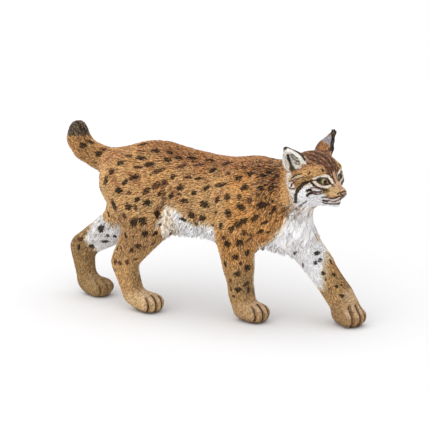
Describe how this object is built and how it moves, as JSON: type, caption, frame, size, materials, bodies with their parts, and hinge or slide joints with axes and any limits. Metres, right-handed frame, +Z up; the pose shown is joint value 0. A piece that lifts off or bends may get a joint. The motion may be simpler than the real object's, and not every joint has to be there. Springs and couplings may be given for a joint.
{
  "type": "lynx figurine",
  "caption": "Small moulded and hand-painted plastic lynx, walking with its head turned aside and its short tail raised, standing on its own paws.",
  "frame": {"origin": "on the table, under the middle of the figure's bounding box", "axes": "+X towards the front of the body, +Y towards the animal's left, +Z up"},
  "size_m": [0.1088, 0.0302, 0.0644],
  "materials": {
    "coat_paint": "hand-painted orange tan with dark spots over sculpted fur",
    "ear_paint": "hand-painted tan back, cream hollow and black rim and tip",
    "paw_paint": "hand-painted plain tan with dark lines between the toes",
    "eye_paint": "glossy painted olive iris with a dark pupil"
  },
  "bodies": {
    "root": {"trunk": "coat_paint", "neck": "coat_paint", "head": "coat_paint", "ear_left": "ear_paint", "ear_right": "ear_paint", "eye_left": "eye_paint", "eye_right": "eye_paint", "tail": "coat_paint", "front_leg_left": "coat_paint", "front_leg_right": "coat_paint", "hind_leg_left": "coat_paint", "hind_leg_right": "coat_paint", "front_paw_left": "paw_paint", "front_paw_right": "paw_paint", "hind_paw_left": "paw_paint", "hind_paw_right": "paw_paint"}
  },
  "joints": []
}
